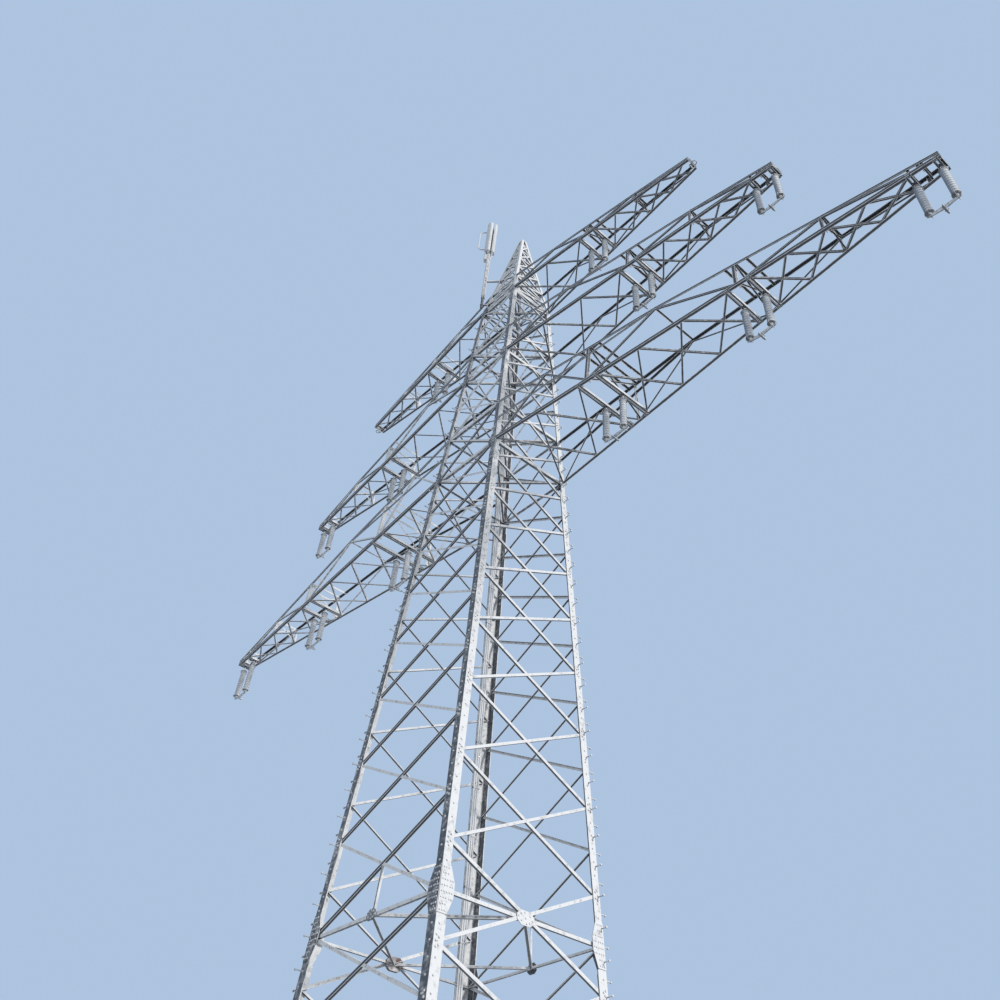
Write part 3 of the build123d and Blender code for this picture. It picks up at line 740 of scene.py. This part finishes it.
# A frame's corner plates, in distances in and up from the foot and the head of its post
FOOT_PLATE = ((0.014, 0.014), (0.20, 0.014), (0.20, 0.10), (0.11, 0.36), (0.014, 0.36))
FOOT_BOLTS = ((0.05, 0.06), (0.15, 0.05), (0.05, 0.17), (0.06, 0.28), (0.12, 0.14))
HEAD_PLATE = ((0.014, -0.02), (0.22, -0.02), (0.22, -0.08), (0.10, -0.22), (0.014, -0.22))
FULL_FRAME_DEPTH = 0.75
LUG_R = 0.032
LUG_HOLE_R = 0.0128


def arm_lines(arm):
    """Functions for the lower and upper chord of a right-hand arm, on its front side."""
    root = half_width(arm["z"])
    root_high = half_width(arm["z"] + arm["depth"])
    knee_x, knee_depth = arm["knee"]
    reach = arm["reach"]

    def half_at(x):
        return root - (root - TIP_HALF) * (x - root) / (reach - root)

    def depth_at(x):
        if x < knee_x:
            return arm["depth"] + (knee_depth - arm["depth"]) * (x - root_high) / (knee_x - root_high)
        return knee_depth + (TIP_DEPTH - knee_depth) * (x - knee_x) / (reach - knee_x)

    origin = Vector((root, -root, arm["z"]))
    tip = Vector((reach, -TIP_HALF, arm["z"]))
    crown = Vector((root_high, -root_high, arm["z"] + arm["depth"]))
    normal = (tip - origin).cross(crown - origin)
    lean = normal.z / normal.y

    def lower(x, lift=0.0):
        return Vector((x, -half_at(x) - lean * lift, arm["z"] + lift))

    def upper(x, drop=0.0):
        return lower(x, depth_at(x) - drop)

    return half_at, lower, upper


def dress_arm(level, arm):
    half_at, lower, upper = arm_lines(arm)
    z, reach, sets, knee_x = arm["z"], arm["reach"], list(arm["sets"].values()), arm["knee"][0]
    root = half_width(z) + ROOT_GAP
    root_high = half_width(z + arm["depth"]) + ROOT_GAP
    plate_x = reach - END_GAUGE
    beams = [x + shift for x in sets for shift in (-STRING_SPACING / 2, STRING_SPACING / 2)]
    bays = [root, *beams, reach - END_FIELD]
    fields = [root + 0.06, *sets]
    if reach - sets[-1] > 1.0:
        fields.append(reach - END_FIELD)
    for name, m in (("right", 1), ("left", -1)):
        pile = Pile()
        bolts = Pile()
        # The left arm shows the windward side of its bracing
        ties = Pile() if name == "left" else pile

        def at(point, s, inset=0.0):
            """Mirror a point of the front side of the right arm to where it belongs."""
            return Vector((m * point.x, -s * (point.y + inset), point.z))

        for s in (-1, 1):
            inward = -Y * s
            pile.angle(at(lower(root), s), at(lower(plate_x), s), inward, Z, *ARM_CHORD)
            for x0, x1 in ((root_high, knee_x), (knee_x, plate_x)):
                pile.angle(at(upper(x0), s), at(upper(x1), s), inward, -Z, *ARM_UPPER_CHORD)
            # Zigzag, with a crown in each field
            for x0, x1 in zip(fields, fields[1:]):
                crown = upper(knee_x if x0 < knee_x < x1 else (x0 + x1) / 2, 0.05)
                for foot in (lower(x0, 0.06), lower(x1, 0.06)):
                    add_brace(ties, at(foot, s, 0.013), at(crown, s, 0.013), inward, *LIGHT_BAR)
                bolts.bolt(at(crown, s), -inward, *PLATE_BOLT)
            if arm["strut"]:
                p, q = lower(root_high, arm["strut"]), upper(knee_x, 0.06)
                add_brace(pile, at(p, s, 0.004), at(q, s, 0.004), inward, *ARM_STRUT, heel_low=False)
            for x in [beam + shift for beam in beams for shift in (-0.045, 0.0, 0.045)]:
                place = at(lower(x), s)
                bolts.bolt(place + inward * 0.06, -Z, *BAR_BOLT)
                bolts.bolt(place + Z * 0.06, -inward, *BAR_BOLT)
        # Crossed bays of the underside, and the beams that carry the sets
        for start, end, panels in zip(bays[0::2], bays[1::2], arm["panels"]):
            step = (end - start) / panels
            for k in range(panels):
                x0, x1 = start + step * k, start + step * (k + 1)
                y0, y1 = half_at(x0) - 0.06, half_at(x1) - 0.06
                for s, rise in ((1, 0.013), (-1, 0.020)):
                    p, q = Vector((m * x0, -s * y0, z + rise)), Vector((m * x1, s * y1, z + rise))
                    add_level_bar(ties, p, q, *LIGHT_BAR)
                bolts.bolt(Vector((m * (x0 * y1 + x1 * y0) / (y0 + y1), 0, z + 0.013)), -Z, *BAR_BOLT)
        for x in beams:
            y = half_at(x) - 0.004
            for shift in (-0.05, 0.05):
                p, q = [Vector((m * x + shift, s * y, z - 0.001)) for s in (-1, 1)]
                pile.channel(p, q, X, Z, half=0.03, height=0.09, gauge=0.007)
            add_lug(pile, bolts, Vector((m * x, 0, z)))
        for x in (*sets, (fields[-2] + fields[-1]) / 2):
            add_frame(ties, bolts, at, lower, upper, x, X * m, x in sets)
        for x in (knee_x, reach - 0.06):
            pile.angle(at(upper(x, 0.012), -1), at(upper(x, 0.012), 1), X * m, -Z, *LIGHT_BAR)
        # End plate
        low, high = lower(plate_x), upper(plate_x)
        pile.plate([at(low, -1), at(low, 1), at(high, 1), at(high, -1)], X * m, END_GAUGE)
        node = f"crossarm_{level}_{name}"
        # Painted shade: the arm's chords and beams, and the right arm's bracing, get the darker unfrosted
        # steel
        pile.build(f"{node}_angles", steel_bare_with_painted_shade, "tower", "steel", node)
        if ties is not pile:
            ties.build(f"{node}_ties", steel_white, "tower", "steel")
        bolts.build(f"{node}_bolts", bolt_steel, "tower", "fittings")


def add_frame(pile, bolts, at, lower, upper, x, face, carries_set):
    """Transverse frame: two posts, a strut across the top, crossed ties and corner plates."""
    # The corner plates are cut down where the arm is low
    fit = min(1.0, (upper(x) - lower(x)).z / FULL_FRAME_DEPTH)
    for s in (-1, 1):
        inward = -Y * s
        foot, head = at(lower(x, 0.012), s), at(upper(x, 0.01), s)
        width = SET_POST_WIDTH if carries_set else POST_WIDTH
        pile.angle(foot + inward * 0.013, head + inward * 0.013, inward, -X, width, FRAME_GAUGE)
        pile.angle(at(lower(x, 0.10), s, 0.03), at(upper(x, 0.06), -s, 0.03), face, -Z, *FRAME_CROSS)
        for corner, shape in ((foot, FOOT_PLATE), (head, HEAD_PLATE)):
            points = [corner - face * 0.010 + inward * y + Z * z * fit for y, z in shape]
            pile.plate(points, face, FRAME_GAUGE)
        for y, z in FOOT_BOLTS:
            bolts.bolt(foot - face * 0.002 + inward * y + Z * z * fit, face, *BAR_BOLT)
    for place in (x - STRING_SPACING / 2, x, x + STRING_SPACING / 2) if carries_set else (x,):
        pile.angle(at(upper(place, 0.02), -1), at(upper(place, 0.02), 1), face, -Z, *FRAME_TOP)


def add_lug(pile, bolts, top):
    """Eye plate under a beam, with a hole for the set's pin."""
    pin = top - Z * LUG_DROP
    edges = ((-0.01, LUG_R), (-0.01, LUG_HOLE_R), (0.01, LUG_HOLE_R), (0.01, LUG_R))
    pile.skin([hoop(pin + X * x, Y, Z, radius) for x, radius in edges], closed=True)
    neck = mirrored([(0.020, 0.014), (LUG_R, 0.002), (0.045, LUG_DROP)])
    pile.plate([pin - X * 0.0095 + Y * y + Z * z for y, z in neck], X, 0.019)
    gauge = 0.012
    pile.plate([top + Vector((x, y, -gauge)) for x, y in rectangle(0.05, 0.07)], Z, gauge)
    for x, y in rectangle(0.033, 0.05):
        bolts.bolt(top + Vector((x, y, -gauge)), -Z, *LUG_BOLT)


# Insulator sets, in distances from the pin they swing on
CAP_R = 0.050
CAP_LENGTH = 0.110
STRING_TOP = -0.037
ROD_TOP = STRING_TOP - CAP_LENGTH
ROD_LENGTH = 1.150
ROD_BOTTOM = ROD_TOP - ROD_LENGTH
STRING_BOTTOM = ROD_BOTTOM - CAP_LENGTH
SHED_R = 0.110
CORE_R = 0.094
SHEDS = 22
YOKE_TOP = STRING_BOTTOM + 0.040
YOKE_HALF = STRING_SPACING / 2 + CAP_R
YOKE_GAUGE = 0.020
CLAMP_DROP = YOKE_TOP - 0.170
CLAMP_HALF = 0.160
CLAMP_R = 0.034
LINE_R = 0.011
HORN_R = 0.008
# Turned outlines, as distance along the axis and radius
CAP = [(0.0, 0.030), (0.010, 0.037), (0.030, 0.046), (0.045, CAP_R)]
CAP += [(CAP_LENGTH - 0.008, CAP_R), (CAP_LENGTH, 0.046)]
DISC = [(0.0, 0.060), (0.006, 0.120), (0.014, 0.128), (0.024, 0.120), (0.030, 0.060)]
# Arcing horns, as distance from the rod's axis (the last one: from the middle of the set) and height
UPPER_HORN = [(0.035, -0.125), (0.09, -0.13), (0.135, -0.15), (0.155, -0.19), (0.15, -0.235), (0.125, -0.255)]
LOWER_HORN = [(0.0, -1.412), (0.05, -1.412), (0.11, -1.395), (0.145, -1.36), (0.155, -1.315), (0.145, -1.27)]
YOKE_HORN = [(0.385, -1.425), (0.425, -1.43), (0.455, -1.405), (0.465, -1.355), (0.462, -1.31)]


def rod_profile():
    """Long rod with sheds that alternate in size, from the lower cap up."""
    pitch = ROD_LENGTH / SHEDS
    profile = [(0.0, CORE_R)]
    for k in range(SHEDS):
        edge = SHED_R if k % 2 == 0 else SHED_R - 0.010
        shed = [(0.22, CORE_R), (0.30, edge - 0.004), (0.42, edge)]
        shed += [(0.54, edge - 0.006), (0.90, CORE_R + 0.002)]
        profile += [((k + share) * pitch, radius) for share, radius in shed]
    profile.append((ROD_LENGTH, CORE_R))
    return profile


def add_pin(pile, place, axis, half, radius):
    """Pin with a head at one end and a nut at the other."""
    a, b = cross_axes(axis)
    pile.run(circle(radius, 12), place - axis * half, place + axis * half, a, b)
    pile.run(circle(radius * 1.5, 12), place - axis * (half + 0.008), place - axis * half, a, b)
    pile.run(circle(radius * 1.6, 6), place + axis * half, place + axis * (half + 0.010), a, b)


def add_line_clamp(pile, place, half, radius, bore):
    """Boat-shaped clamp along Y with an open bore, a keeper and two U-bolts."""
    side = [(half * 0.55, radius), (half * 0.94, radius * 0.68), (half, radius * 0.5), (half, bore)]
    profile = side + [(-along, r) for along, r in reversed(side)]
    pile.lathe(place, Y, profile, 20, hollow=True)
    keeper = radius + 0.004
    turns = [math.pi * k / 10 for k in range(11)]
    for s in (-1, 1):
        middle = place + Y * s * half * 0.38
        bend = [middle - X * keeper * math.cos(t) - Z * keeper * math.sin(t) for t in turns]
        start, end = [middle + X * x + Z * (keeper + 0.012) for x in (-keeper, keeper)]
        pile.tube([start, *bend, end], radius * 0.16)
        bar = [middle + Vector((x, y, keeper - 0.004)) for x, y in rectangle(keeper * 1.3, 0.014)]
        pile.plate(bar, Z, 0.007)
        for x in (-keeper, keeper):
            pile.bolt(middle + X * x + Z * (keeper + 0.003), Z, radius * 0.32, 0.009)


def add_forks(pile, top):
    """Fork over the lug, and fork on the yoke, each with its pin."""
    half = 0.023
    tongue = [(-half, -0.085), (half, -0.085), (half, 0.0)]
    tongue += [(half * math.cos(k * math.pi / 8), half * math.sin(k * math.pi / 8)) for k in range(1, 8)]
    tongue.append((-half, 0.0))
    for start in (-0.027, 0.015):
        pile.plate([top + X * start + Y * y + Z * z for y, z in tongue], X, 0.012)
    add_pin(pile, top, X, 0.029, 0.012)
    foot = top + Z * STRING_BOTTOM
    jaw = mirrored([(0.028, 0.03), (0.028, -0.03), (0.014, -0.045)])
    for start in (-0.022, 0.012):
        pile.plate([foot + Y * start + X * x + Z * z for x, z in jaw], Y, 0.010)
    add_pin(pile, foot - Z * 0.012, Y, 0.024, 0.010)


def dress_set(level, side, place, pin):
    rods = Pile()
    pile = Pile()
    for s in (-1, 1):
        top = pin + X * s * STRING_SPACING / 2
        rods.lathe(top + Z * ROD_BOTTOM, Z, rod_profile(), 22)
        add_forks(pile, top)
        # Caps and discs at the ends of the rod
        pile.lathe(top + Z * STRING_TOP, -Z, CAP, 20)
        pile.lathe(top + Z * STRING_BOTTOM, Z, CAP, 20)
        pile.lathe(top + Z * (ROD_TOP - 0.012), Z, DISC, 22)
        pile.lathe(top + Z * (ROD_BOTTOM - 0.018), Z, DISC, 22)
        for t in (-1, 1):
            for horn in (UPPER_HORN, LOWER_HORN):
                pile.tube([top + Y * t * y + Z * z for y, z in horn], HORN_R)
        pile.tube([pin + X * s * x + Z * z for x, z in YOKE_HORN], HORN_R + 0.001)
    # Yoke, its rounded corner given as distances in and down
    corner = ((0.03, 0.0), (0.009, 0.009), (0.0, 0.03), (0.0, 0.055), (0.02, 0.078))
    half = [(YOKE_HALF - x, YOKE_TOP - z) for x, z in corner]
    half += [(0.055, CLAMP_DROP + 0.032), (0.034, CLAMP_DROP + 0.020)]
    pile.plate([pin - Y * YOKE_GAUGE / 2 + X * x + Z * z for x, z in mirrored(half)], Y, YOKE_GAUGE)
    # Straps between the yoke and the line clamp
    clamp = pin + Z * CLAMP_DROP
    strap = mirrored([(0.030, 0.012), (0.030, 0.075), (0.012, 0.092)])
    for y in (-0.020, 0.010):
        pile.plate([clamp + Y * y + X * x + Z * z for x, z in strap], Y, 0.010)
    add_pin(pile, clamp + Z * 0.066, Y, 0.024, 0.009)
    add_line_clamp(pile, clamp, CLAMP_HALF, CLAMP_R, LINE_R)
    key = f"{level}_{side}_{place}"
    rods.build(f"long_rods_{key}", porcelain, f"set_{key}", "porcelain", f"insulators_{key}")
    pile.build(f"set_fittings_{key}", fittings_steel, f"set_{key}", "fittings", f"fittings_{key}")


def dress_earth_clamps():
    pile = Pile()
    strap = mirrored([(0.034, 0.0), (0.034, -0.09), (0.018, -0.112)])
    for s in (-1, 1):
        tip = Vector((s * (ARMS["top"]["reach"] - 0.06), 0, KINK_Z))
        pile.plate([tip - X * 0.010 + Y * y + Z * z for y, z in strap], X, 0.020)
        pile.plate([tip + Vector((x, y, -0.010)) for x, y in rectangle(0.05, 0.06)], Z, 0.010)
        add_line_clamp(pile, tip - Z * 0.13, half=0.09, radius=0.028, bore=0.008)
        add_pin(pile, tip - Z * 0.06, X, 0.020, 0.010)
        # Ring at the arm's end
        pile.tube(hoop(tip + Vector((s * 0.155, 0, -0.015)), X * s, Y, 0.085, 24), 0.016, 10, closed=True)
    pile.build("earth_clamp_fittings", fittings_steel, "tower", "fittings", "earth_wire_clamps")


# Aerial mast, aerials, and the cables that run up to them
MAST = Vector((-1.05, -1.05, 0))
MAST_R = 0.057
MAST_FOOT_Z = 32.7
MAST_TOP_Z = 38.95
AERIAL_LENGTH = 2.30
AERIAL_FOOT_Z = MAST_TOP_Z + 0.15 - AERIAL_LENGTH
AERIAL_TURNS = (-75, 45, 165)
GUARD_TURN = -130
BOX_DROP = 2.72
BOX_HEIGHT = 0.36
CABLE_R = 0.026
CABLE_PITCH = 0.17 / 3 * 1.25
TRAY_INSET = 0.36


def dress_mast():
    pile = Pile()
    length = MAST_TOP_Z - MAST_FOOT_Z
    profile = [(0.0, MAST_R * 0.6), (0.012, MAST_R), (length - 0.02, MAST_R), (length, MAST_R * 0.7)]
    pile.lathe(MAST + Z * MAST_FOOT_Z, Z, profile, 24)
    # Brackets to the peak's leg, with hoops round the mast
    diagonal = Vector((1, 1, 0)).normalized()
    across = Z.cross(diagonal)
    for z in (32.9, 34.6):
        corner = Vector((-half_width(z), -half_width(z), z))
        start, end = MAST + Z * z + diagonal * MAST_R, corner + diagonal * 0.05
        pile.channel(start, end, across, Z, half=0.035, height=0.06, gauge=0.007)
        for dz in (0.012, 0.048):
            pile.tube(hoop(MAST + Z * (z + dz), diagonal, across, MAST_R * 1.1), 0.008, closed=True)
    pile.build("mast_tube", steel, "tower", "steel", "aerial_mast")
    # Feeder cables from the aerials down the mast
    feeders = Pile()
    for turn in AERIAL_TURNS:
        out = compass(turn)
        for shift in (-0.02, 0.02):
            side = Z.cross(out) * shift
            top = MAST + Z * AERIAL_FOOT_Z
            path = [top + side * 3.5 + out * 0.16, top + side * 3.2 + out * 0.16 - Z * 0.12]
            path.append(top + side + out * 0.10 - Z * 0.28)
            path += [top + side + out * (MAST_R + 0.016) - Z * (0.45 + 0.5 * k) for k in range(7)]
            feeders.tube(path, 0.015)
    feeders.build("feeder_cables", rubber, "tower", "cable")


def add_aerial(shells, brackets, foot, out):
    """Upright aerial shell, its plugs and the two brackets that hold it to the mast."""
    across = Z.cross(out)
    # Flat back, rounded front, slightly drawn in at its ends
    half, middle_x, curve_x, curve_depth = 0.135, 0.175, 0.165, 0.075
    turns = [k * math.pi / 16 for k in range(1, 8)]
    side = [(0.110, 0.120), (0.120, half), (curve_x, half)]
    side += [(curve_x + curve_depth * math.sin(t), half * math.cos(t) ** 0.6) for t in turns]
    outline = side + [(curve_x + curve_depth, 0.0)] + [(a, -b) for a, b in reversed(side)]
    heights = [(0.0, 0.90), (0.02, 0.98), (0.05, 1.0)]
    heights += [(AERIAL_LENGTH - height, share) for height, share in reversed(heights)]
    rings = []
    for height, share in heights:
        middle = foot + Z * height + out * middle_x
        rings.append([middle + out * (a - middle_x) * share + across * b * share for a, b in outline])
    shells.skin(rings)
    for shift in (-0.07, 0.0, 0.07):
        plug = foot + out * 0.16 + across * shift - Z * 0.002
        shells.lathe(plug, Z, [(0.0, 0.014), (0.03, 0.016)], 10)
    for share in (0.2, 0.75):
        low = foot + Z * AERIAL_LENGTH * share
        arm = ((0.045, 0.0), (0.112, 0.0), (0.112, 0.06), (0.045, 0.06))
        for b in (-0.035, 0.027):
            brackets.plate([low + out * a + across * b + Z * dz for a, dz in arm], across, 0.008)
        back = [low + out * 0.104 + across * b + Z * (0.03 + dz) for b, dz in rectangle(0.06, 0.04)]
        brackets.plate(back, out, 0.008)
        for dz in (0.012, 0.048):
            brackets.tube(hoop(low + Z * dz, out, across, 0.064), 0.006, closed=True)


def dress_aerials():
    shells = Pile()
    brackets = Pile()
    foot = MAST + Z * AERIAL_FOOT_Z
    for turn in AERIAL_TURNS:
        add_aerial(shells, brackets, foot, compass(turn))
    # Bent guard tube beside the aerials
    out = compass(GUARD_TURN)
    across = Z.cross(out)
    low, high, reach, radius = 0.30, 1.72, 0.52, 0.18
    turns = [math.pi / 2 * k / 6 for k in range(7)]
    bend = [(reach - radius + radius * math.sin(t), low + radius - radius * math.cos(t)) for t in turns]
    bend = [(0.06, low)] + bend + [(a, low + high - z) for a, z in reversed(bend)] + [(0.06, high)]
    brackets.tube([foot + out * a + Z * z for a, z in bend], 0.024, 10)
    # Junction box under the aerials, with a lid and three glands
    box = MAST + out * (MAST_R + 0.004) + Z * (MAST_TOP_Z - BOX_DROP)
    lid = box + Z * BOX_HEIGHT
    outline = [(0.0, -0.11), (0.0, 0.11), (0.11, 0.11), (0.135, 0.085), (0.135, -0.085), (0.11, -0.11)]
    shells.run(outline, box, lid, out, across)
    shells.run([(a * 1.06 - 0.002, b * 1.06) for a, b in outline], lid, lid + Z * 0.018, out, across)
    for shift in (-0.06, 0.0, 0.06):
        gland = box + out * 0.07 + across * shift - Z * 0.03
        shells.lathe(gland, Z, [(0.0, 0.012), (0.02, 0.016), (0.031, 0.016)], 10)
    shells.build("aerial_shells", shell, "tower", "aerial", "aerial_panels")
    brackets.build("aerial_brackets", fittings_steel, "tower", "fittings")


def on_tray(across, z, depth):
    """Point by the cable tray, which stands inside the left face near its back leg."""
    return on_leg("left", -1, TRAY_INSET + across, z, depth)


def dress_cables():
    pile = Pile()
    straps = Pile()
    low, high, steps = 2.5, 32.0, 59
    for k in range(3):
        path = []
        for j in range(steps + 1):
            # The cables sway a little between their straps
            across = (k - 1) * CABLE_PITCH + 0.015 + 0.003 * math.sin(2.1 * j + 2.0 * k)
            path.append(on_tray(across, low + (high - low) * j / steps, 0.099))
        pile.tube(path, CABLE_R, 12)
    strip = [(0, -0.02), (0.005, -0.02), (0.005, 0.02), (0, 0.02)]
    first, pitch, count = 3.1, 1.3, 23
    for k in range(count):
        z = first + pitch * k
        straps.run(strip, on_tray(-0.10, z, 0.126), on_tray(0.125, z, 0.126), X, Z)
        for across in (-0.10, 0.120):
            straps.run(strip, on_tray(across, z, 0.130), on_tray(across, z, 0.060), Y, Z)
        for across in (-0.045, 0.012, 0.070):
            straps.bolt(on_tray(across, z, 0.131), X, 0.009, 0.010)
    pile.build("round_cables", rubber, "tower", "cable", "cables")
    straps.build("cable_straps", steel, "tower", "steel")


# Everything, from the ground up
add_camera()
add_world()
add_sun("key", energy=2.45, angle=8.0, turn=(66, 0, 100), colour=(1.0, 0.965, 0.91))
add_sun("fill", energy=0.30, angle=60.0, turn=(60, 0, -10), colour=(0.88, 0.94, 1.0))
add_floor(floor_material())
LOOKS = {"insulators": porcelain, "fittings": fittings_steel, "aerial_panels": shell, "cables": rubber}
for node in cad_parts:
    dress(node, next((look for start, look in LOOKS.items() if node.startswith(start)), steel))
add_foot_ribs()
dress_bracing()
add_leg_bolts()
add_step_bolts()
add_gussets()
dress_ring()
add_plan_bracing()
add_leg_splices()
dress_peak()
for level, arm in ARMS.items():
    dress_arm(level, arm)
    for place, x in arm["sets"].items():
        for side, sign in (("right", 1), ("left", -1)):
            dress_set(level, side, place, Vector((sign * x, 0, arm["z"] - LUG_DROP)))
dress_earth_clamps()
dress_mast()
dress_aerials()
dress_cables()
